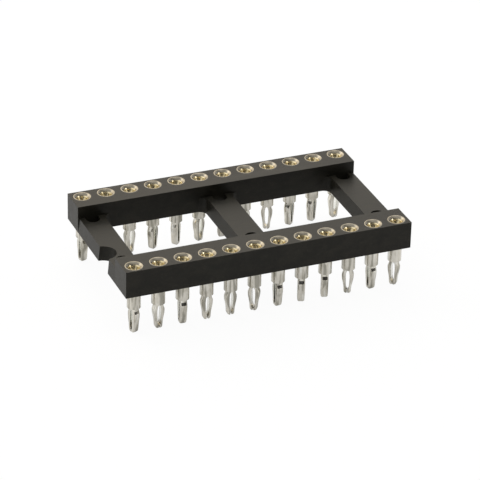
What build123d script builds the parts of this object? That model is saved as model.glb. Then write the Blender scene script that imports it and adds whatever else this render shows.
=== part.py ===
from build123d import *
import math
import os

# A 24 position dual row IC socket: an open moulded frame with turned, press-fit contacts.
# Millimetres. +X runs along the rows, away from the index notch, and +Z is up, towards the
# chip. The origin is under the middle of the socket, on the plane that the tail tips reach.
# Contacts are numbered as a chip's leads are: 1 to 12 along the front row from the notch
# end, and 13 to 24 back along the rear row.

# Contact grid
PITCH = 2.54
PER_ROW = 12
ROW_SPACING = 15.24

# Heights, from the tail tips up
TAIL_LENGTH = 2.74
SHANK_BELOW_FRAME = 1.68
FRAME_HEIGHT = 2.88

# Rails, measured from the contacts' centre lines
RAIL_OUTER = 1.08
RAIL_INNER = 2.11
RAIL_END = 1.20

# Crossbars: drafted bars that tie the two rails together
BAR_HEIGHT = 1.61
END_BAR_WIDTH = 2.85
MIDDLE_BAR_WIDTH = 3.00
BAR_DRAFT = 5.0
WINDOW_CORNER_RADIUS = 0.80

# Round-ended pockets in the top of each bar, against each rail
POCKET_WIDTH = 1.40
POCKET_DEPTH = 0.80
REAR_POCKET_REACH = 1.25
FRONT_POCKET_REACH = 2.35

# Index notch: a half round through the left end bar
NOTCH_RADIUS = 1.36
NOTCH_Y = -2.05

# Turned sleeve: a head flush with the rail, a barrel with flats in the rail, a shank below
HEAD_RADIUS = 0.915
HEAD_DEPTH = 0.45
BARREL_ACROSS_CORNERS = 1.60
BARREL_SIDES = 8
SHANK_RADIUS = 0.69
BORE_RADIUS = 0.60
BORE_DEPTH = 3.20
MOUTH_RADIUS = 0.74
MOUTH_DEPTH = 0.20

# Compliant tail: two tines that bow apart round a slot and meet again at the tip
TAIL_THICKNESS = 0.73
TAIL_EDGE = 0.12
ROOT_WIDTH = 0.80
BOW_WIDTH = 1.20
BOW_DROP = 0.75
TIP_WIDTH = 0.76
TIP_STRAIGHT = 0.30
TIP_CORNER = 0.14
SLOT_WIDTH = 0.40
SLOT_TOP_DROP = 0.28
SLOT_WIDEST_DROP = 0.94
SLIT_WIDTH = 0.05
SLIT_LENGTH = 0.40
TIP_NOTCH_WIDTH = 0.16
TIP_NOTCH_DEPTH = 0.16

# Contact clip: a collar, tapered so that it can be pressed in, with four flat fingers that
# lean in, opened as far as a lead 0.47 across holds them
CLIP_WALL = 0.09
COLLAR_LENGTH = 0.20
COLLAR_TAPER = 0.01
FINGERS = 4
FINGER_LENGTH = 2.00
FINGER_ROOT_WIDTH = 0.54
FINGER_TIP_WIDTH = 0.30
GRIP_RADIUS = 0.29
CLIP_TURN_STEP = 37.0

# How far the wide side of each tail is turned from +X, contact 1 first. Turned contacts
# are pressed into the frame at any angle about their own axis.
TAIL_TURNS = (
    108, 0, 89, 0, 0, 142, 94, 70, 70, 153, 99, 136,
    6, 38, 38, 155, 27, 83, 18, 42, 37, 15, 51, 106,
)

# Places that follow from the sizes above
FRAME_BOTTOM = TAIL_LENGTH + SHANK_BELOW_FRAME
FRAME_TOP = FRAME_BOTTOM + FRAME_HEIGHT
BAR_TOP = FRAME_BOTTOM + BAR_HEIGHT
HEAD_BOTTOM = FRAME_TOP - HEAD_DEPTH
BORE_BOTTOM = FRAME_TOP - BORE_DEPTH
MOUTH_BOTTOM = FRAME_TOP - MOUTH_DEPTH
ROW_LENGTH = (PER_ROW - 1) * PITCH
FRAME_LENGTH = ROW_LENGTH + 2 * RAIL_END
RAIL_WIDTH = RAIL_OUTER + RAIL_INNER
RAIL_Y = ROW_SPACING / 2 + (RAIL_OUTER - RAIL_INNER) / 2
RAIL_FACE_Y = ROW_SPACING / 2 - RAIL_INNER
END_BAR_X = (FRAME_LENGTH - END_BAR_WIDTH) / 2

# Every contact's place: its number, its centre and its turn
contacts = []
for number, turn in enumerate(TAIL_TURNS, start=1):
    in_front = number <= PER_ROW
    column = number - 1 if in_front else 2 * PER_ROW - number
    x = column * PITCH - ROW_LENGTH / 2
    y = -ROW_SPACING / 2 if in_front else ROW_SPACING / 2
    contacts.append((number, x, y, turn))

os.makedirs("parts", exist_ok=True)

with BuildPart() as insulator_frame:
    with BuildSketch(Plane.XY.offset(FRAME_BOTTOM)):
        with Locations((-END_BAR_X, 0), (END_BAR_X, 0)):
            Rectangle(END_BAR_WIDTH, 2 * RAIL_Y)
        Rectangle(MIDDLE_BAR_WIDTH, 2 * RAIL_Y)
    extrude(amount=BAR_HEIGHT, taper=BAR_DRAFT)

    # Pockets in the bars, with a round end away from the rail and the rest under the rail
    with BuildSketch(Plane.XY.offset(BAR_TOP)):
        for reach, side in ((REAR_POCKET_REACH, 1), (FRONT_POCKET_REACH, -1)):
            for x in (-END_BAR_X, 0, END_BAR_X):
                with Locations((x, side * (RAIL_FACE_Y - reach + POCKET_WIDTH))):
                    SlotOverall(2 * POCKET_WIDTH, POCKET_WIDTH, rotation=90)
    extrude(amount=-POCKET_DEPTH, mode=Mode.SUBTRACT)

    with BuildSketch(Plane.XY.offset(FRAME_BOTTOM)):
        with Locations((0, -RAIL_Y), (0, RAIL_Y)):
            Rectangle(FRAME_LENGTH, RAIL_WIDTH)
    extrude(amount=FRAME_HEIGHT)

    # Rounded inside corners of the two windows
    corners = insulator_frame.edges().filter_by(
        lambda edge: abs(abs(edge.center().Y) - RAIL_FACE_Y) < 0.01
        and abs(edge.center().X) < END_BAR_X
        and abs(edge.center().Z - (FRAME_BOTTOM + BAR_TOP) / 2) < 0.01
    )
    fillet(corners, WINDOW_CORNER_RADIUS)

    with BuildSketch(Plane.XY.offset(FRAME_BOTTOM)):
        with Locations((-FRAME_LENGTH / 2, NOTCH_Y)):
            Circle(NOTCH_RADIUS)
    extrude(amount=BAR_HEIGHT, mode=Mode.SUBTRACT)

    # Seats for the contacts: a counterbore for the head over a hole for the barrel, where
    # the plastic has closed round the barrel's flats
    with BuildSketch(Plane.XY.offset(FRAME_TOP)):
        with GridLocations(PITCH, ROW_SPACING, PER_ROW, 2):
            Circle(HEAD_RADIUS)
    extrude(amount=-HEAD_DEPTH, mode=Mode.SUBTRACT)
    with BuildSketch(Plane.XY.offset(FRAME_BOTTOM)):
        for _, x, y, turn in contacts:
            with Locations(Location((x, y, 0), (0, 0, turn))):
                RegularPolygon(BARREL_ACROSS_CORNERS / 2, BARREL_SIDES)
    extrude(amount=HEAD_BOTTOM - FRAME_BOTTOM, mode=Mode.SUBTRACT)

insulator_frame.part.label = "insulator_frame"
export_step(insulator_frame.part, "parts/insulator_frame.step")

# One contact's sleeve, standing on the Z axis
with BuildPart() as sleeve:
    # Tail blank: the spread of the tines is drawn in the XZ plane
    with BuildSketch(Plane.XZ):
        with BuildLine():
            root = Line((0, TAIL_LENGTH), (ROOT_WIDTH / 2, TAIL_LENGTH))
            flank = Spline(
                root @ 1,
                (BOW_WIDTH / 2, TAIL_LENGTH - BOW_DROP),
                (TIP_WIDTH / 2, TIP_STRAIGHT),
                tangents=((1, -2), (0, -1)),
            )
            Polyline(
                flank @ 1,
                (TIP_WIDTH / 2, TIP_CORNER),
                (TIP_WIDTH / 2 - TIP_CORNER, 0),
                (0, 0),
            )
            mirror(about=Plane.YZ)
        make_face()
    extrude(amount=TAIL_THICKNESS / 2, both=True)
    outlines = sleeve.edges().filter_by(
        lambda edge: abs(abs(edge.center().Y) - TAIL_THICKNESS / 2) < 0.001
        and edge.center().Z < TAIL_LENGTH - 0.001
    )
    chamfer(outlines, TAIL_EDGE)

    # The slot between the tines, a slit below it and the notch that parts the tips
    with BuildSketch(Plane.XZ):
        with BuildLine():
            eye = Spline(
                (0, TAIL_LENGTH - SLOT_TOP_DROP),
                (SLOT_WIDTH / 2, TAIL_LENGTH - SLOT_WIDEST_DROP),
                (SLIT_WIDTH / 2, SLIT_LENGTH),
                tangents=((1, -1), (0, -1)),
            )
            Polyline(
                eye @ 1,
                (SLIT_WIDTH / 2, TIP_NOTCH_DEPTH),
                (TIP_NOTCH_WIDTH / 2, 0),
                (0, 0),
            )
            mirror(about=Plane.YZ)
        make_face()
    extrude(amount=TAIL_THICKNESS, both=True, mode=Mode.SUBTRACT)

    # Turned shank and head, with the barrel between them
    with BuildSketch(Plane.XZ):
        with BuildLine():
            Polyline(
                (0, TAIL_LENGTH),
                (SHANK_RADIUS, TAIL_LENGTH),
                (SHANK_RADIUS, HEAD_BOTTOM),
                (HEAD_RADIUS, HEAD_BOTTOM),
                (HEAD_RADIUS, FRAME_TOP),
                (0, FRAME_TOP),
                close=True,
            )
        make_face()
    revolve(axis=Axis.Z)
    with BuildSketch(Plane.XY.offset(FRAME_BOTTOM)):
        RegularPolygon(BARREL_ACROSS_CORNERS / 2, BARREL_SIDES)
    extrude(amount=HEAD_BOTTOM - FRAME_BOTTOM)

    # Blind bore with a coned mouth
    with BuildSketch(Plane.XZ):
        with BuildLine():
            Polyline(
                (0, FRAME_TOP),
                (MOUTH_RADIUS, FRAME_TOP),
                (BORE_RADIUS, MOUTH_BOTTOM),
                (BORE_RADIUS, BORE_BOTTOM),
                (0, BORE_BOTTOM),
                close=True,
            )
        make_face()
    revolve(axis=Axis.Z, mode=Mode.SUBTRACT)

# One contact's clip, pressed into the top of the sleeve's bore
COLLAR_BOTTOM = MOUTH_BOTTOM - COLLAR_LENGTH
CLIP_BOTTOM = COLLAR_BOTTOM - FINGER_LENGTH
COLLAR_FOOT = BORE_RADIUS - COLLAR_TAPER
FINGER_ROOT_X = math.sqrt(COLLAR_FOOT**2 - (FINGER_ROOT_WIDTH / 2) ** 2) - CLIP_WALL

with BuildPart() as finger:
    with BuildSketch(Plane.XZ):
        with BuildLine():
            Polyline(
                (FINGER_ROOT_X, COLLAR_BOTTOM),
                (FINGER_ROOT_X + CLIP_WALL, COLLAR_BOTTOM),
                (GRIP_RADIUS + CLIP_WALL, CLIP_BOTTOM),
                (GRIP_RADIUS, CLIP_BOTTOM),
                close=True,
            )
        make_face()
    extrude(amount=FINGER_ROOT_WIDTH, both=True)
    with BuildSketch(Plane.YZ):
        with BuildLine():
            Polyline(
                (-FINGER_ROOT_WIDTH / 2, COLLAR_BOTTOM),
                (FINGER_ROOT_WIDTH / 2, COLLAR_BOTTOM),
                (FINGER_TIP_WIDTH / 2, CLIP_BOTTOM),
                (-FINGER_TIP_WIDTH / 2, CLIP_BOTTOM),
                close=True,
            )
        make_face()
    extrude(amount=BORE_RADIUS, mode=Mode.INTERSECT)

with BuildPart() as clip:
    with BuildSketch(Plane.XZ):
        with BuildLine():
            Polyline(
                (BORE_RADIUS - CLIP_WALL, COLLAR_BOTTOM),
                (COLLAR_FOOT, COLLAR_BOTTOM),
                (BORE_RADIUS, MOUTH_BOTTOM),
                (BORE_RADIUS - CLIP_WALL, MOUTH_BOTTOM),
                close=True,
            )
        make_face()
    revolve(axis=Axis.Z)
    with PolarLocations(0, FINGERS):
        add(finger.part)

# Set every contact in its place in the grid
for number, x, y, turn in contacts:
    with BuildPart() as pin_sleeve:
        with Locations(Location((x, y, 0), (0, 0, turn))):
            add(sleeve.part)
    pin_sleeve.part.label = f"pin_sleeve_{number:02d}"
    export_step(pin_sleeve.part, f"parts/pin_sleeve_{number:02d}.step")

    with BuildPart() as contact_clip:
        with Locations(Location((x, y, 0), (0, 0, number * CLIP_TURN_STEP))):
            add(clip.part)
    contact_clip.part.label = f"contact_clip_{number:02d}"
    export_step(contact_clip.part, f"parts/contact_clip_{number:02d}.step")
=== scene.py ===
"""Dresses a 24 position IC socket with turned, press-fit contacts.

The classes hold their sizes in millimetres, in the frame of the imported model: +X along the
contact rows, away from the index notch, +Z up, and the origin under the middle of the
socket, level with the tips of the tails. A mesh is scaled to metres when it is finished.
The scales of the finishes' patterns count per metre, and the floor and lamps are in metres.
"""
from __future__ import annotations

import logging
import math
from dataclasses import dataclass
from enum import Enum
from typing import Callable, Iterable, Sequence, Union

import bmesh
import bpy
from mathutils import Matrix, Vector

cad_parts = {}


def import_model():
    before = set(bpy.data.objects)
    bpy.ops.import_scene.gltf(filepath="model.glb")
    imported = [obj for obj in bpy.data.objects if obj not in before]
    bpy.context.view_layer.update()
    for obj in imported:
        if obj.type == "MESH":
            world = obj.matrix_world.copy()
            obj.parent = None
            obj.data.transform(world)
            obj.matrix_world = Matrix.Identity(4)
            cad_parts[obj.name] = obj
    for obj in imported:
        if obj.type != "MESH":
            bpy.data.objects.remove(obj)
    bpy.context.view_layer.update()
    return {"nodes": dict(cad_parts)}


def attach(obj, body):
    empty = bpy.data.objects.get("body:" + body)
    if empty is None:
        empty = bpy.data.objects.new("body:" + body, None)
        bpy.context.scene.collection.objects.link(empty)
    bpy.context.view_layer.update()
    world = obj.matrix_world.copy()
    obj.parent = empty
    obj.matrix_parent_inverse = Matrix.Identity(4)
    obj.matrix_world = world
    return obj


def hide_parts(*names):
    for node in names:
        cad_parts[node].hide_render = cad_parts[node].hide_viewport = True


MM = 0.001
BODY = "root"
IMAGE_SIDE = 480

# The grid of the contacts, which the seats in the frame share
PITCH = 2.54
PER_ROW = 12
ROW_SPACING = 15.24

# Corners nearer to each other than this are one corner
SAME_PLACE = 1e-4

# Edges that turn by more degrees than this look sharp
SHARP_ABOVE = 32.0

log = logging.getLogger("ic_socket")

Colour = tuple[float, float, float]
Point = tuple[float, float, float]
Span = tuple[float, float]
Term = Union["Wire", float]

WHITE: Colour = (1.0, 1.0, 1.0)
UNSTRETCHED: Point = (1.0, 1.0, 1.0)


class Slot(Enum):
    """The record's material slots."""

    MOULDING = "moulding"
    TIN = "tin_plate"
    GOLD = "gold_plate"


class Mark(Enum):
    """The values that each point of a sleeve carries for its finishes."""

    FROM_AXIS = "from_axis"
    # Where a tail's slot walls carry painted light
    SLOT_WALL = "slot_wall"


class Wire:
    """One output of a shader node, with the arithmetic that the finishes are written in."""

    def __init__(self, graph: Graph, socket: bpy.types.NodeSocket) -> None:
        """Keep the socket and the graph that new nodes go into."""
        self.graph = graph
        self.socket = socket

    def __add__(self, other: Term) -> Wire:
        """Add a number or another wire."""
        return self.graph.maths("ADD", self, other)

    def __radd__(self, other: Term) -> Wire:
        """Add to a number."""
        return self.graph.maths("ADD", other, self)

    def __sub__(self, other: Term) -> Wire:
        """Take a number or another wire away."""
        return self.graph.maths("SUBTRACT", self, other)

    def __rsub__(self, other: Term) -> Wire:
        """Take this wire away from a number."""
        return self.graph.maths("SUBTRACT", other, self)

    def __mul__(self, other: Term) -> Wire:
        """Multiply by a number or another wire."""
        return self.graph.maths("MULTIPLY", self, other)

    def __rmul__(self, other: Term) -> Wire:
        """Multiply a number by this wire."""
        return self.graph.maths("MULTIPLY", other, self)

    def ramp(self, low: float, high: float) -> Wire:
        """Rise smoothly from 0 at low to 1 at high."""
        return self.graph.wire(
            "ShaderNodeMapRange",
            {"interpolation_type": "SMOOTHSTEP"},
            {"Value": self, "From Min": low, "From Max": high},
        )


class Graph:
    """The node tree of one material or world."""

    NOISE_ROUGHNESS = 0.55

    def __init__(self, owner: Union[bpy.types.Material, bpy.types.World]) -> None:
        """Empty the owner's tree, ready for new nodes.

        Args:
            owner: The material or world that the nodes are for.
        """
        owner.use_nodes = True
        self.tree = owner.node_tree
        self.tree.nodes.clear()

    def node(
        self, kind: str, settings: dict[str, object], sockets: dict[str, object]
    ) -> bpy.types.Node:
        """Add one node.

        Args:
            kind: The node's type.
            settings: Its own properties, such as a Math node's operation, which are set first.
            sockets: What goes into its inputs: numbers, colours or wires.

        Returns:
            The node.
        """
        made = self.tree.nodes.new(kind)
        for name, value in settings.items():
            setattr(made, name, value)
        for name, value in sockets.items():
            place = made.inputs[int(name)] if name.isdigit() else made.inputs[name]
            if isinstance(value, Wire):
                self.tree.links.new(value.socket, place)
            else:
                place.default_value = value
        return made

    def wire(
        self,
        kind: str,
        settings: dict[str, object],
        sockets: dict[str, object],
        out: Union[str, int] = 0,
    ) -> Wire:
        """Add one node and take one of its outputs."""
        return Wire(self, self.node(kind, settings, sockets).outputs[out])

    def maths(self, operation: str, first: Term, second: Term) -> Wire:
        """Add a Math node on two terms."""
        return self.wire(
            "ShaderNodeMath", {"operation": operation}, {"0": first, "1": second}
        )

    def place(self, stretch: Point = UNSTRETCHED) -> Wire:
        """Object coordinates, multiplied along each axis."""
        where = self.wire("ShaderNodeTexCoord", {}, {}, "Object")
        return self.wire(
            "ShaderNodeVectorMath", {"operation": "MULTIPLY"}, {"0": where, "1": stretch}
        )

    def height_of(self, where: Wire) -> Wire:
        """The upward part of a place or a direction."""
        return self.wire("ShaderNodeSeparateXYZ", {}, {"0": where}, "Z")

    def mark(self, which: Mark) -> Wire:
        """A value that the points of the piece carry."""
        return self.wire("ShaderNodeAttribute", {"attribute_name": which.value}, {}, "Fac")

    def noise(self, where: Wire, scale: float, detail: float) -> Wire:
        """Smooth noise from 0 to 1, with scale counted per metre of the coordinates."""
        return self.wire(
            "ShaderNodeTexNoise",
            {"noise_dimensions": "3D"},
            {
                "Vector": where,
                "Scale": scale,
                "Detail": detail,
                "Roughness": self.NOISE_ROUGHNESS,
            },
        )

    def blend(self, share: Term, first: object, second: object) -> Wire:
        """Mix two colours, from the first at 0 to the second at 1."""
        # The Mix node's colours are its inputs 6 and 7 and its output 2
        return self.wire(
            "ShaderNodeMix", {"data_type": "RGBA"}, {"0": share, "6": first, "7": second}, 2
        )

    def bump(self, height: Wire, depth: float) -> Wire:
        """Raise the surface by depth metres where height is 1."""
        return self.wire("ShaderNodeBump", {}, {"Height": height, "Distance": depth})


def rgba(colour: Colour) -> tuple[float, float, float, float]:
    """Give a colour full opacity."""
    return (*colour, 1.0)


@dataclass(frozen=True)
class MouldedPlastic:
    """Black glass-filled thermoplastic with a fine grain and faint flow marks."""

    dark: Colour = (0.0105, 0.0098, 0.0072)
    light: Colour = (0.021, 0.0191, 0.0139)
    roughness: float = 0.40
    specular: float = 0.15
    grain_scale: float = 16000.0
    grain_detail: float = 3.0
    grain_depth: float = 0.0022 * MM
    grain_in_roughness: float = 0.08
    # The specks are a coarser grain that shows in the colour alone
    speck_coarseness: float = 3.0
    speck_detail: float = 1.0
    speck_band: Span = (0.55, 0.75)
    speck_in_colour: float = 0.4
    flow_scale: float = 700.0
    flow_stretch: Point = (1.0, 2.2, 1.6)
    flow_detail: float = 4.0
    flow_band: Span = (0.35, 0.7)
    flow_in_colour: float = 0.6
    flow_in_roughness: float = 0.16

    def material(self) -> bpy.types.Material:
        """Make the moulding's material.

        Returns:
            The material.
        """
        made = bpy.data.materials.new("moulded_plastic")
        graph = Graph(made)
        grain = graph.noise(graph.place(), self.grain_scale, self.grain_detail)
        speck_scale = self.grain_scale / self.speck_coarseness
        speck = graph.noise(graph.place(), speck_scale, self.speck_detail)
        flow = graph.noise(graph.place(self.flow_stretch), self.flow_scale, self.flow_detail)
        flow_tint = flow.ramp(*self.flow_band) * self.flow_in_colour
        speck_tint = speck.ramp(*self.speck_band) * self.speck_in_colour
        flow_part = (flow - 0.5) * self.flow_in_roughness
        grain_part = (grain - 0.5) * self.grain_in_roughness
        shader = graph.wire(
            "ShaderNodeBsdfPrincipled",
            {},
            {
                "Base Color": graph.blend(
                    flow_tint + speck_tint, rgba(self.dark), rgba(self.light)
                ),
                "Roughness": self.roughness + flow_part + grain_part,
                "Specular IOR Level": self.specular,
                "Normal": graph.bump(grain, self.grain_depth),
            },
        )
        graph.node("ShaderNodeOutputMaterial", {}, {"Surface": shader})
        return made


@dataclass(frozen=True)
class PlatedMetal:
    """A plated metal with fine marks, stains and, where formed, painted reflections as
    streaks.
    """

    name: str
    bright: Colour
    dull: Colour
    roughness: float
    # The fine marks run round a turned piece, and along the stretch on any other
    turned: bool
    mark_scale: float
    mark_depth: float
    mark_stretch: Point = UNSTRETCHED
    mark_detail: float = 3.0
    mark_in_roughness: float = 0.10
    stain_scale: float = 900.0
    stain_stretch: Point = (1.0, 1.0, 0.6)
    stain_detail: float = 3.0
    stain_band: Span = (0.42, 0.72)
    stain_in_colour: float = 0.8
    stain_in_roughness: float = 0.12
    # Painted reflections as long streaks, which a share of 0 leaves out: over one band their
    # noise turns to the painted dark reflection, and over the other its reverse to the painted
    # light
    reflection_streak_share: float = 0.0
    streak_scale: float = 2600.0
    streak_stretch: Point = (1.0, 1.0, 0.12)
    streak_detail: float = 1.5
    painted_dark_reflection: Colour = (0.16, 0.155, 0.12)
    dark_reflection_band: Span = (0.50, 0.62)
    painted_light: Colour = (0.82, 0.82, 0.78)
    light_reflection_band: Span = (0.56, 0.68)
    # Whether the walls of a tail's slot get painted light, brightening the shade in the slot
    slot_walls_painted_light: bool = False

    def material(self) -> bpy.types.Material:
        """Make this metal's material.

        Returns:
            The material.
        """
        made = bpy.data.materials.new(self.name)
        graph = Graph(made)
        mark = graph.noise(self._along_marks(graph), self.mark_scale, self.mark_detail)
        stain = graph.noise(
            graph.place(self.stain_stretch), self.stain_scale, self.stain_detail
        )
        stained = stain.ramp(*self.stain_band) * self.stain_in_colour
        tint = graph.blend(stained, rgba(self.bright), rgba(self.dull))
        # Painted reflections: dark and bright streaks laid into the colour
        if self.reflection_streak_share > 0.0:
            tint = self._paint_reflection_streaks(graph, tint)
        # Painted light: the slot's walls are brightened where shade falls in the slot
        if self.slot_walls_painted_light:
            tint = graph.blend(graph.mark(Mark.SLOT_WALL), tint, rgba(self.painted_light))
        stain_part = (stain - 0.5) * self.stain_in_roughness
        mark_part = (mark - 0.5) * self.mark_in_roughness
        shader = graph.wire(
            "ShaderNodeBsdfPrincipled",
            {},
            {
                "Base Color": tint,
                "Metallic": 1.0,
                "Roughness": self.roughness + stain_part + mark_part,
                "Normal": graph.bump(mark, self.mark_depth),
            },
        )
        graph.node("ShaderNodeOutputMaterial", {}, {"Surface": shader})
        return made

    def _along_marks(self, graph: Graph) -> Wire:
        """Give the coordinates that the fine marks follow.

        Args:
            graph: The material's nodes.

        Returns:
            The distance from the axis and the height on a turned piece, or else the place.
        """
        if not self.turned:
            return graph.place(self.mark_stretch)
        radius = graph.mark(Mark.FROM_AXIS)
        height = graph.height_of(graph.place())
        return graph.wire("ShaderNodeCombineXYZ", {}, {"X": radius, "Z": height})

    def _paint_reflection_streaks(self, graph: Graph, tint: Wire) -> Wire:
        """Lay painted reflections over a colour, as dark and bright upright streaks.

        Args:
            graph: The material's nodes.
            tint: The colour under the streaks.

        Returns:
            The colour with its painted reflections.
        """
        streak = graph.noise(
            graph.place(self.streak_stretch), self.streak_scale, self.streak_detail
        )
        shaded = streak.ramp(*self.dark_reflection_band) * self.reflection_streak_share
        gleaming = (1.0 - streak).ramp(*self.light_reflection_band) * self.reflection_streak_share
        tint = graph.blend(shaded, tint, rgba(self.painted_dark_reflection))
        return graph.blend(gleaming, tint, rgba(self.painted_light))


TURNED_TIN = PlatedMetal(
    name="turned_tin_plate",
    bright=(0.25, 0.225, 0.178),
    dull=(0.18, 0.160, 0.122),
    roughness=0.24,
    turned=True,
    mark_scale=15000.0,
    mark_depth=0.0012 * MM,
)
FORMED_TIN = PlatedMetal(
    name="formed_tin_plate",
    bright=(0.64, 0.615, 0.55),
    dull=(0.46, 0.435, 0.37),
    roughness=0.15,
    turned=False,
    mark_scale=9000.0,
    mark_depth=0.0010 * MM,
    mark_stretch=(1.0, 1.0, 0.25),
    stain_scale=1500.0,
    # Painted reflections as dark and bright streaks
    reflection_streak_share=0.60,
    # Painted light on the slot's walls
    slot_walls_painted_light=True,
)
GOLD = PlatedMetal(
    name="gold_plate",
    bright=(0.80, 0.69, 0.44),
    dull=(0.58, 0.48, 0.27),
    roughness=0.24,
    turned=False,
    mark_scale=12000.0,
    mark_depth=0.0008 * MM,
    mark_stretch=(1.0, 1.0, 0.3),
)


class Workbench:
    """What every piece is made with: a bmesh in millimetres and the steps to finish it."""

    def __init__(self) -> None:
        """Start with an empty mesh."""
        self.mesh = bmesh.new()

    def lathe(self, outline: Sequence[tuple[float, float]], steps: int) -> None:
        """Spin an outline once round the Z axis.

        Args:
            outline: Its points, each a radius and a height.
            steps: How many flats make the round.
        """
        corners = [self.mesh.verts.new((radius, 0.0, height)) for radius, height in outline]
        lines = [self.mesh.edges.new(pair) for pair in zip(corners, corners[1:])]
        bmesh.ops.spin(
            self.mesh,
            geom=corners + lines,
            cent=(0.0, 0.0, 0.0),
            axis=(0.0, 0.0, 1.0),
            angle=2.0 * math.pi,
            steps=steps,
            use_merge=True,
        )
        self.weld()

    def weld(self) -> None:
        """Merge corners that meet and turn every face outwards."""
        bmesh.ops.remove_doubles(self.mesh, verts=self.mesh.verts[:], dist=SAME_PLACE)
        bmesh.ops.recalc_face_normals(self.mesh, faces=self.mesh.faces[:])

    def round_edges(
        self, chosen: Callable[[bmesh.types.BMEdge], bool], width: float, segments: int
    ) -> None:
        """Round the edges that a test picks.

        Args:
            chosen: The test.
            width: How far each rounding reaches from its edge.
            segments: How many flats make the round.
        """
        edges = [edge for edge in self.mesh.edges if chosen(edge)]
        bmesh.ops.bevel(
            self.mesh,
            geom=edges,
            offset=width,
            offset_type="OFFSET",
            affect="EDGES",
            segments=segments,
            profile=0.5,
            material=-1,
            clamp_overlap=True,
        )

    def round_corners(
        self, corners: list[bmesh.types.BMVert], width: float, segments: int
    ) -> None:
        """Round some corners of a flat outline."""
        bmesh.ops.bevel(
            self.mesh,
            geom=corners,
            offset=width,
            affect="VERTICES",
            segments=segments,
            profile=0.5,
            material=-1,
        )

    def stand(self, x: float, y: float, turn: float) -> None:
        """Turn the mesh about the Z axis, by degrees, and move it to its place."""
        matrix = Matrix.Translation((x, y, 0.0)) @ Matrix.Rotation(math.radians(turn), 4, "Z")
        bmesh.ops.transform(self.mesh, matrix=matrix, verts=self.mesh.verts[:])

    def finish(
        self, name: str, materials: Iterable[bpy.types.Material]
    ) -> bpy.types.Object:
        """Scale the mesh to metres and make it a piece that rides on the socket's body.

        Args:
            name: The piece's name.
            materials: Its materials, in the order of the faces' material numbers.

        Returns:
            The new object.
        """
        bmesh.ops.scale(self.mesh, vec=(MM, MM, MM), verts=self.mesh.verts[:])
        data = bpy.data.meshes.new(name)
        self.mesh.to_mesh(data)
        self.mesh.free()
        for polygon in data.polygons:
            polygon.use_smooth = True
        data.set_sharp_from_angle(angle=math.radians(SHARP_ABOVE))
        for material in materials:
            data.materials.append(material)
        piece = bpy.data.objects.new(name, data)
        bpy.context.scene.collection.objects.link(piece)
        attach(piece, BODY)
        log.info("%s: %d faces", name, len(data.polygons))
        return piece


@dataclass
class InsulatorFrame:
    """The moulded frame: its solid, with the soft edges that a mould leaves."""

    node: str = "insulator_frame"
    # Every outer edge is rounded, except in the seats, which reach this far from the axes
    # of the contacts
    rail_round: float = 0.07
    round_segments: int = 3
    seat_reach: float = 0.95
    # Angles in degrees: faces that turn less are one face, and edges that turn less stay as
    # they are
    flat_angle: float = 0.5
    sharp_angle: float = 28.0
    # The two crossbars whose front pockets reach a little further, the pockets' half width
    # and floor, where their round ends lie along Y, and how far these move
    long_pocket_bars: tuple[float, ...] = (0.0, 13.745)
    pocket_half_width: float = 0.71
    pocket_floor: float = 5.22
    pocket_end: Span = (-3.87, -3.10)
    pocket_stretch: float = 0.15
    # A face whose normal is at least this much upright is level, and a level face smaller
    # than this many square millimetres, as between two seats, is shaded flat
    level: float = 0.9999
    small_face: float = 2.0

    def build(self, solid: bpy.types.Object, plastic: bpy.types.Material) -> None:
        """Copy the solid, merge its faces, round its edges and dress it.

        Args:
            solid: The frame's CAD node.
            plastic: The moulding's material.
        """
        bench = Workbench()
        bench.mesh.from_mesh(solid.data)
        bmesh.ops.scale(bench.mesh, vec=(1.0 / MM,) * 3, verts=bench.mesh.verts[:])
        bench.weld()
        bmesh.ops.dissolve_limit(
            bench.mesh,
            angle_limit=math.radians(self.flat_angle),
            use_dissolve_boundaries=False,
            verts=bench.mesh.verts[:],
            edges=bench.mesh.edges[:],
        )
        ends = [vert for vert in bench.mesh.verts if self._in_pocket_end(vert.co)]
        bmesh.ops.translate(bench.mesh, vec=(0.0, self.pocket_stretch, 0.0), verts=ends)
        log.info("%d corners of pocket ends moved", len(ends))
        bench.round_edges(self._is_outer_edge, self.rail_round, self.round_segments)
        piece = bench.finish("frame_moulding", [plastic])
        for polygon in piece.data.polygons:
            is_level = abs(polygon.normal.z) > self.level
            if is_level and polygon.area < self.small_face * MM * MM:
                polygon.use_smooth = False
        piece.modifiers.new("even_faces", "WEIGHTED_NORMAL").keep_sharp = True
        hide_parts(self.node)

    def _in_pocket_end(self, point: Vector) -> bool:
        """Tell whether a point lies on the round end of a long front pocket.

        Args:
            point: A corner of the frame.

        Returns:
            Whether it moves with the pocket's end.
        """
        low, high = self.pocket_end
        aside = min(abs(point.x - bar) for bar in self.long_pocket_bars)
        in_bar = aside < self.pocket_half_width and point.z > self.pocket_floor
        return in_bar and low < point.y < high

    def _is_outer_edge(self, edge: bmesh.types.BMEdge) -> bool:
        """Tell an edge that shows and stands out from one inside a seat.

        Args:
            edge: An edge of the frame.

        Returns:
            Whether it is rounded.
        """
        if len(edge.link_faces) != 2 or not edge.is_convex:
            return False
        if edge.calc_face_angle(0.0) < math.radians(self.sharp_angle):
            return False
        middle = (edge.verts[0].co + edge.verts[1].co) / 2
        return not self._in_a_seat(middle)

    def _in_a_seat(self, point: Vector) -> bool:
        """Tell whether a point lies on the wall or rim of a contact's seat.

        Args:
            point: A point of the frame.

        Returns:
            Whether it is as near to a contact's axis as a seat reaches.
        """
        column = round(point.x / PITCH - 0.5) + 0.5
        across = math.hypot(point.x - column * PITCH, abs(point.y) - ROW_SPACING / 2.0)
        return abs(column) < PER_ROW / 2.0 and across < self.seat_reach


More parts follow.
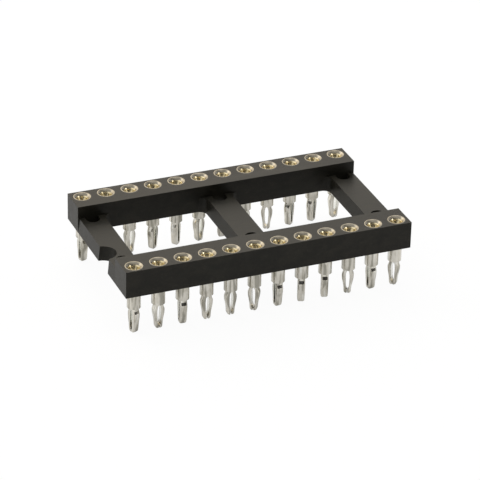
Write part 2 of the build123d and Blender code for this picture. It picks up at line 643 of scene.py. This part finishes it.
@dataclass
class PinSleeve:
    """A turned sleeve: head, blind bore, shank and the two sprung tines of its tail."""

    top: float = 7.30
    head_radius: float = 0.915
    head_bottom: float = 6.85
    shank_radius: float = 0.69
    barrel_radius: float = 0.73
    frame_underside: float = 4.42
    shank_end: float = 2.74
    mouth_radius: float = 0.80
    mouth_bottom: float = 7.10
    bore_radius: float = 0.60
    bore_bottom: float = 4.10
    turned_steps: int = 56
    # The rounding of the turned rims, and the angle in degrees that makes an edge a rim
    edge_round: float = 0.03
    rim_angle: float = 30.0
    rim_segments: int = 3
    # The tail: how far its root stands up into the shank, its size there, and the rounding
    # of a tine's corners, outside and along the slot
    root_depth: float = 0.05
    root_half_width: float = 0.40
    thickness: float = 0.73
    tine_corner: float = 0.19
    tine_segments: int = 6
    slot_corner: float = 0.05
    slot_segments: int = 3
    # Half of the least gap between the tines, and the drop from which it counts
    tip_gap: float = 0.018
    tip_drop: float = 2.25
    # The drops between which the slot's walls carry painted light, how near to a station's
    # wall a point counts as on it, and how far in from the tail's faces
    slot_light_band: Span = (0.10, 2.00)
    wall_reach: float = 0.01
    wall_margin: float = 0.02
    # Each station down a tine: its drop from the shank's end, where the slot's wall and the
    # outer flank stand from the middle, and its share of the full thickness
    stations: tuple[tuple[float, float, float, float], ...] = (
        (0.00, 0.000, 0.440, 1.00),
        (0.08, 0.000, 0.446, 1.00),
        (0.16, 0.000, 0.454, 1.00),
        (0.22, 0.070, 0.462, 1.00),
        (0.27, 0.104, 0.464, 1.00),
        (0.30, 0.120, 0.471, 1.00),
        (0.36, 0.140, 0.492, 1.00),
        (0.48, 0.162, 0.535, 1.00),
        (0.60, 0.178, 0.578, 1.00),
        (0.65, 0.183, 0.594, 1.00),
        (0.69, 0.186, 0.600, 1.00),
        (0.80, 0.192, 0.602, 1.00),
        (0.92, 0.200, 0.597, 1.00),
        (1.10, 0.197, 0.579, 1.00),
        (1.30, 0.190, 0.543, 1.00),
        (1.50, 0.180, 0.500, 1.00),
        (1.70, 0.170, 0.461, 1.00),
        (1.90, 0.165, 0.421, 1.00),
        (2.06, 0.158, 0.403, 1.00),
        (2.20, 0.146, 0.392, 1.00),
        (2.32, 0.120, 0.385, 1.00),
        (2.42, 0.075, 0.380, 1.00),
        (2.48, 0.018, 0.377, 0.99),
        (2.60, 0.018, 0.360, 0.97),
        (2.68, 0.024, 0.322, 0.91),
        (2.74, 0.040, 0.258, 0.80),
    )

    def build(
        self,
        turned: bpy.types.Material,
        formed: bpy.types.Material,
        number: int,
        x: float,
        y: float,
        turn: float,
    ) -> None:
        """Make one sleeve and stand it in its place.

        Args:
            turned: The finish of what lies above the frame's underside.
            formed: The finish of what lies below it, such as the shank and the tail.
            number: The contact's number.
            x: Its place along the rows.
            y: Its row.
            turn: How far its tail is turned from +X, in degrees.
        """
        bench = Workbench()
        self._tail(bench)
        self._body(bench, set(bench.mesh.faces))
        # Faces below the frame's underside take the second of the two finishes
        for face in bench.mesh.faces:
            if face.calc_center_median().z < self.frame_underside:
                face.material_index = 1
        radii = [math.hypot(v.co.x, v.co.y) * MM for v in bench.mesh.verts]
        # Where the slot's walls carry painted light
        walls = [float(self._on_slot_wall(v.co)) for v in bench.mesh.verts]
        bench.stand(x, y, turn)
        piece = bench.finish(f"sleeve_{number:02d}", [turned, formed])
        for mark, values in ((Mark.FROM_AXIS, radii), (Mark.SLOT_WALL, walls)):
            attribute = piece.data.attributes.new(mark.value, "FLOAT", "POINT")
            attribute.data.foreach_set("value", values)
        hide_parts(f"pin_sleeve_{number:02d}")

    def _on_slot_wall(self, point: Vector) -> bool:
        """Tell whether a point lies on the wall of the slot, above the slot's bottom.

        Args:
            point: A corner of the sleeve, before it is turned.

        Returns:
            Whether the wall carries painted light there.
        """
        drop = self.shank_end - point.z
        near = min(self.stations, key=lambda station: abs(station[0] - drop))
        on_wall = abs(abs(point.x) - near[1]) < self.wall_reach
        inside = abs(point.y) < 0.5 * self.thickness - self.wall_margin
        return self.slot_light_band[0] < drop < self.slot_light_band[1] and on_wall and inside

    def _tail(self, bench: Workbench) -> None:
        """Draw one tine down through its stations and mirror it.

        Args:
            bench: The workbench, still empty.
        """
        mesh = bench.mesh
        inner, outer = 0.0, self.root_half_width
        root_top = self.shank_end + self.root_depth
        # A square of side 1 beside the plane of the mirror, stretched to the root's size
        bmesh.ops.create_grid(mesh, x_segments=1, y_segments=1, size=0.5)
        bmesh.ops.translate(mesh, vec=(0.5, 0.0, root_top), verts=mesh.verts[:])
        bmesh.ops.scale(mesh, vec=(outer, self.thickness, 1.0), verts=mesh.verts[:])
        outside = [vert for vert in mesh.verts if vert.co.x > outer - SAME_PLACE]
        bench.round_corners(outside, self.tine_corner, self.tine_segments)
        in_slot = [vert for vert in mesh.verts if vert.co.x < SAME_PLACE]
        bench.round_corners(in_slot, self.slot_corner, self.slot_segments)
        ring = [edge for edge in mesh.edges if edge.is_boundary]
        for drop, wall, flank, share in self.stations:
            if drop > self.tip_drop:
                wall = max(wall, self.tip_gap)
            grown = bmesh.ops.extrude_edge_only(mesh, edges=ring)["geom"]
            ring = [item for item in grown if isinstance(item, bmesh.types.BMEdge)]
            verts = [item for item in grown if isinstance(item, bmesh.types.BMVert)]
            self._set_station(mesh, verts, (inner, outer), (wall, flank), drop, share)
            inner, outer = wall, flank
        bmesh.ops.contextual_create(mesh, geom=ring)
        on_plane = [
            face for face in mesh.faces if all(abs(v.co.x) < SAME_PLACE for v in face.verts)
        ]
        bmesh.ops.delete(mesh, geom=on_plane, context="FACES")
        bmesh.ops.mirror(
            mesh,
            geom=mesh.verts[:] + mesh.edges[:] + mesh.faces[:],
            matrix=Matrix.Identity(4),
            merge_dist=SAME_PLACE,
            axis="X",
        )
        bench.weld()

    def _set_station(
        self,
        mesh: bmesh.types.BMesh,
        verts: list[bmesh.types.BMVert],
        old: Span,
        new: Span,
        drop: float,
        share: float,
    ) -> None:
        """Move a fresh ring to its own height and stretch it between its two walls.

        Args:
            mesh: The tine's mesh.
            verts: The corners of the ring.
            old: Where the slot's wall and the flank stood in the ring before.
            new: Where they stand in this one.
            drop: How far the ring lies below the shank's end.
            share: Its share of the tail's full thickness.
        """
        height = self.shank_end - drop - verts[0].co.z
        stretch = (new[1] - new[0]) / (old[1] - old[0])
        thick = max(abs(v.co.y) for v in verts) * 2.0
        bmesh.ops.translate(mesh, vec=(-old[0], 0.0, height), verts=verts)
        bmesh.ops.scale(
            mesh, vec=(stretch, share * self.thickness / thick, 1.0), verts=verts
        )
        bmesh.ops.translate(mesh, vec=(new[0], 0.0, 0.0), verts=verts)

    def _body(self, bench: Workbench, tail: set[bmesh.types.BMFace]) -> None:
        """Spin the head, barrel, shank and bore, and soften their rims.

        Args:
            bench: The workbench, with the tail on it.
            tail: The tail's faces, which keep their edges.
        """
        bench.lathe(
            (
                (0.0, self.shank_end),
                (self.shank_radius, self.shank_end),
                (self.shank_radius, self.frame_underside),
                (self.barrel_radius, self.frame_underside),
                (self.barrel_radius, self.head_bottom),
                (self.head_radius, self.head_bottom),
                (self.head_radius, self.top),
                (self.mouth_radius, self.top),
                (self.bore_radius, self.mouth_bottom),
                (self.bore_radius, self.bore_bottom),
                (0.0, self.bore_bottom),
            ),
            self.turned_steps,
        )

        def is_rim(edge: bmesh.types.BMEdge) -> bool:
            """Tell a rim of the turned body from its other edges and from the tail's."""
            if len(edge.link_faces) != 2 or any(face in tail for face in edge.link_faces):
                return False
            return edge.calc_face_angle(0.0) > math.radians(self.rim_angle)

        bench.round_edges(is_rim, self.edge_round, self.rim_segments)


@dataclass
class ContactClip:
    """The sprung clip in a sleeve's bore: a collar and four fingers that lean in."""

    collar_top: float = 7.10
    collar_bottom: float = 6.90
    collar_chamfer: float = 0.12
    collar_steps: int = 48
    outer: float = 0.60
    wall: float = 0.08
    # The gap between two fingers is measured round the collar's outside
    fingers: int = 4
    finger_gap: float = 0.11
    finger_steps: int = 8
    # The middle of a finger's wall: its radius and height from the collar to the tip
    line: tuple[tuple[float, float], ...] = (
        (0.560, 6.97),
        (0.530, 6.90),
        (0.470, 6.80),
        (0.400, 6.68),
        (0.330, 6.56),
        (0.280, 6.45),
        (0.250, 6.32),
        (0.240, 6.08),
        (0.235, 5.60),
        (0.235, 5.25),
        (0.240, 5.05),
        (0.262, 4.90),
        (0.300, 4.78),
    )

    def build(
        self, gold: bpy.types.Material, number: int, x: float, y: float, turn: float
    ) -> None:
        """Make one clip and set it in its bore.

        Args:
            gold: The clip's finish.
            number: The contact's number.
            x: Its place along the rows.
            y: Its row.
            turn: How far the fingers are turned from +X, in degrees.
        """
        bench = Workbench()
        inside = self.outer - self.wall
        bench.lathe(
            (
                (inside, self.collar_bottom),
                (self.outer, self.collar_bottom),
                (self.outer, self.collar_top),
                (inside, self.collar_top - self.collar_chamfer),
                (inside, self.collar_bottom),
            ),
            self.collar_steps,
        )
        for finger in range(self.fingers):
            self._finger(bench, 2.0 * math.pi * finger / self.fingers)
        bench.weld()
        bench.stand(x, y, turn)
        piece = bench.finish(f"clip_{number:02d}", [gold])
        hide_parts(f"contact_clip_{number:02d}")

    def _finger(self, bench: Workbench, start: float) -> None:
        """Spin one finger's section through its share of the circle.

        Args:
            bench: The workbench.
            start: The angle at which the finger starts, in radians.
        """
        half = self.wall / 2.0
        section = [(radius + half, height) for radius, height in self.line]
        section += [(radius - half, height) for radius, height in reversed(self.line)]
        corners = [bench.mesh.verts.new((radius, 0.0, height)) for radius, height in section]
        face = bench.mesh.faces.new(corners)
        bmesh.ops.rotate(
            bench.mesh,
            cent=(0.0, 0.0, 0.0),
            matrix=Matrix.Rotation(start, 3, "Z"),
            verts=corners,
        )
        bmesh.ops.spin(
            bench.mesh,
            geom=[face, *face.edges, *corners],
            cent=(0.0, 0.0, 0.0),
            axis=(0.0, 0.0, 1.0),
            angle=2.0 * math.pi / self.fingers - self.finger_gap / self.outer,
            steps=self.finger_steps,
        )


@dataclass
class Contacts:
    """The two rows of contacts, each pressed in at a turn of its own."""

    # Turns in degrees: what each clip adds to the one before, and each tail's own
    clip_turn_step: float = 37.0
    tail_turns: tuple[float, ...] = (
        108, 0, 89, 0, 0, 142, 94, 70, 70, 153, 99, 136,
        6, 38, 38, 155, 27, 83, 18, 42, 37, 15, 51, 106,
    )
    # The contacts whose tines stand apart at the tip, and half of their gap
    open_tips: tuple[int, ...] = (4, 5)
    open_gap: float = 0.075

    def build(self) -> None:
        """Make every sleeve and clip."""
        turned = TURNED_TIN.material()
        formed = FORMED_TIN.material()
        gold = GOLD.material()
        for number, turn in enumerate(self.tail_turns, start=1):
            x, y = self.place(number)
            is_open = number in self.open_tips
            sleeve = PinSleeve(tip_gap=self.open_gap) if is_open else PinSleeve()
            sleeve.build(turned, formed, number, x, y, turn)
            ContactClip().build(gold, number, x, y, number * self.clip_turn_step)

    @staticmethod
    def place(number: int) -> tuple[float, float]:
        """Give a contact's place: 1 to 12 along the front row, the rest back behind it.

        Args:
            number: The contact's number.

        Returns:
            Its place along the rows, and its row.
        """
        in_front = number <= PER_ROW
        column = number - 1 if in_front else 2 * PER_ROW - number
        x = (column - (PER_ROW - 1) / 2.0) * PITCH
        return x, -ROW_SPACING / 2.0 if in_front else ROW_SPACING / 2.0


@dataclass(frozen=True)
class Lamp:
    """A square soft lamp that points at the socket, with its place and side in metres."""

    name: str
    place: Point
    side: float
    power: float

    def hang(self) -> None:
        """Add the lamp to the scene."""
        data = bpy.data.lights.new(self.name, "AREA")
        data.shape = "SQUARE"
        data.size = self.side
        data.energy = self.power
        lamp = bpy.data.objects.new(self.name, data)
        lamp.location = self.place
        lamp.rotation_euler = (-Vector(self.place)).to_track_quat("-Z", "Y").to_euler()
        bpy.context.scene.collection.objects.link(lamp)


@dataclass
class Studio:
    """The camera, the pale floor and the soft light."""

    # The camera: its place, its turns in degrees, the photograph's focal length in pixels,
    # the sensor's width, and how near and how far it sees, in metres
    eye: Point = (-97.200, -234.784, 143.166)
    camera_turn: Point = (61.2190, -1.1643, -21.9013)
    focal_pixels: float = 2864.22
    sensor: float = 36.0
    sight: Span = (0.01, 10.0)
    # The floor: its side in metres, its colour, how much of its shadow the camera sees, and
    # how white it is in reflections
    floor_side: float = 4.0
    floor_colour: Colour = (0.80, 0.80, 0.80)
    shadow_share: float = 0.06
    mirror_share: float = 0.45
    # The surroundings: the way to the dark side, the band over which it darkens towards it,
    # how dark it gets, and the heights between which that fades out
    dark_way: Point = (0.20, -0.95, -0.20)
    dark_band: Span = (-0.15, 0.45)
    dark_share: float = 0.94
    dark_fade: Span = (0.60, 0.85)
    # The warm glow on the side away from the dark: its band, its strength and its colour
    glow_band: Span = (0.62, 0.90)
    glow: float = 1.5
    warm: Colour = (1.0, 0.91, 0.77)
    lamps: tuple[Lamp, ...] = (
        Lamp("key_lamp", (-0.35, 0.45, 0.55), 0.5, 1.6),
        Lamp("top_lamp", (0.10, 0.05, 0.70), 0.5, 1.2),
        Lamp("side_lamp", (0.46, -0.27, 0.22), 0.22, 0.40),
    )

    def build(self) -> None:
        """Set up everything round the object."""
        bpy.context.scene.view_settings.view_transform = "Standard"
        self._camera()
        self._floor()
        self._world()
        for lamp in self.lamps:
            lamp.hang()

    def _camera(self) -> None:
        """Put the camera where the photograph was taken from."""
        data = bpy.data.cameras.new("camera")
        data.sensor_width = self.sensor
        data.lens = self.sensor * self.focal_pixels / IMAGE_SIDE
        data.clip_start, data.clip_end = self.sight
        camera = bpy.data.objects.new("camera", data)
        camera.location = Vector(self.eye) * MM
        camera.rotation_euler = [math.radians(angle) for angle in self.camera_turn]
        bpy.context.scene.collection.objects.link(camera)
        bpy.context.scene.camera = camera

    def _floor(self) -> None:
        """Lay a pale floor: white to the camera, and partly so in reflections."""
        mesh = bmesh.new()
        bmesh.ops.create_grid(mesh, x_segments=1, y_segments=1, size=self.floor_side / 2)
        data = bpy.data.meshes.new("floor")
        mesh.to_mesh(data)
        mesh.free()
        floor = bpy.data.objects.new("floor", data)
        bpy.context.scene.collection.objects.link(floor)
        material = bpy.data.materials.new("white_floor")
        graph = Graph(material)
        path = graph.node("ShaderNodeLightPath", {}, {}).outputs
        mirrored = Wire(graph, path["Is Glossy Ray"]) * self.mirror_share
        as_white = graph.maths("MAXIMUM", Wire(graph, path["Is Camera Ray"]), mirrored)
        as_white = graph.maths("MAXIMUM", as_white, Wire(graph, path["Is Transmission Ray"]))
        matt = graph.wire("ShaderNodeBsdfDiffuse", {}, {"Color": rgba(self.floor_colour)})
        white = graph.wire("ShaderNodeEmission", {}, {"Color": rgba(WHITE), "Strength": 1.0})
        mixed = graph.wire(
            "ShaderNodeMixShader",
            {},
            {"0": as_white * (1.0 - self.shadow_share), "1": matt, "2": white},
        )
        graph.node("ShaderNodeOutputMaterial", {}, {"Surface": mixed})
        data.materials.append(material)

    def _world(self) -> None:
        """Surround the socket with white: dark low down in front, brighter behind."""
        world = bpy.data.worlds.new("studio")
        bpy.context.scene.world = world
        graph = Graph(world)
        way = graph.wire("ShaderNodeTexCoord", {}, {}, "Generated")
        towards_dark = graph.wire(
            "ShaderNodeVectorMath",
            {"operation": "DOT_PRODUCT"},
            {"0": way, "1": self.dark_way},
            "Value",
        )
        fade = graph.height_of(way).ramp(*self.dark_fade)
        dark = towards_dark.ramp(*self.dark_band) * (1.0 - fade)
        behind = (0.0 - towards_dark).ramp(*self.glow_band)
        shader = graph.wire(
            "ShaderNodeBackground",
            {},
            {
                "Color": graph.blend(behind, rgba(WHITE), rgba(self.warm)),
                "Strength": 1.0 - self.dark_share * dark + self.glow * behind,
            },
        )
        graph.node("ShaderNodeOutputWorld", {}, {"Surface": shader})


def main() -> None:
    """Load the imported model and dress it."""
    logging.basicConfig(level=logging.INFO, format="%(name)s: %(message)s")
    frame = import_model()
    Studio().build()
    moulding = InsulatorFrame()
    moulding.build(frame["nodes"][moulding.node], MouldedPlastic().material())
    Contacts().build()


if __name__ == "__main__":
    main()
